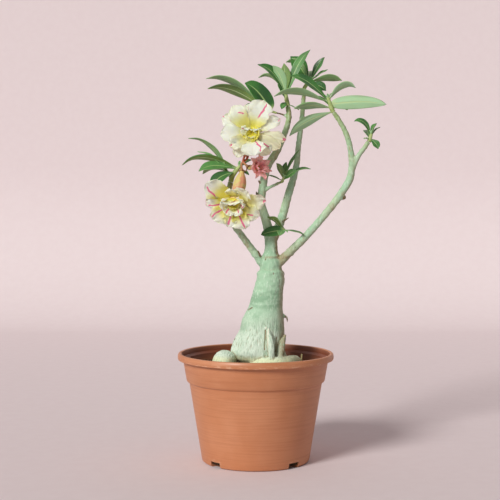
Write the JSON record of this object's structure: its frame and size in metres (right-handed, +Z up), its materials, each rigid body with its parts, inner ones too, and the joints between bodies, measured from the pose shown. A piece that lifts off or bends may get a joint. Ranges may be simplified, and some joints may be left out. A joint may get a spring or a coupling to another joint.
{
  "type": "potted adenium",
  "caption": "Desert rose with a swollen caudex, bare woody branches, leafy tips and double blooms, in a round nursery pot.",
  "frame": {"origin": "centre of the pot's underside, on the surface it stands on", "axes": "+Z up; +X to the right and +Y to the back, seen from the side that the blooms face"},
  "size_m": [0.2395, 0.18, 0.4736],
  "materials": {
    "pot_plastic": "moulded terracotta-coloured plastic, satin, scuffed at the rim",
    "potting_mix": "loose dark peat and bark mix",
    "straw": "dry pale straw",
    "bark": "smooth grey-green living bark with brown scars",
    "leaf": "waxy green, paler underneath, light midrib",
    "flower_stalk": "soft red-brown",
    "cream_petal": "soft cream with yellow throat and pink streaks",
    "pink_petal": "soft coral pink"
  },
  "bodies": {
    "root": {"pot": "pot_plastic", "soil": "potting_mix", "straw_stick": "straw", "caudex": "bark", "leaves_left": "leaf", "leaves_behind_bloom": "leaf", "leaves_centre": "leaf", "leaves_right": "leaf", "leaves_top_right": "leaf", "leaves_far_right": "leaf", "leaves_middle": "leaf", "leaves_neck": "leaf", "flower_stalks": "flower_stalk", "bloom_upper": "cream_petal", "bloom_lower": "cream_petal", "bloom_pink": "pink_petal"}
  },
  "joints": []
}
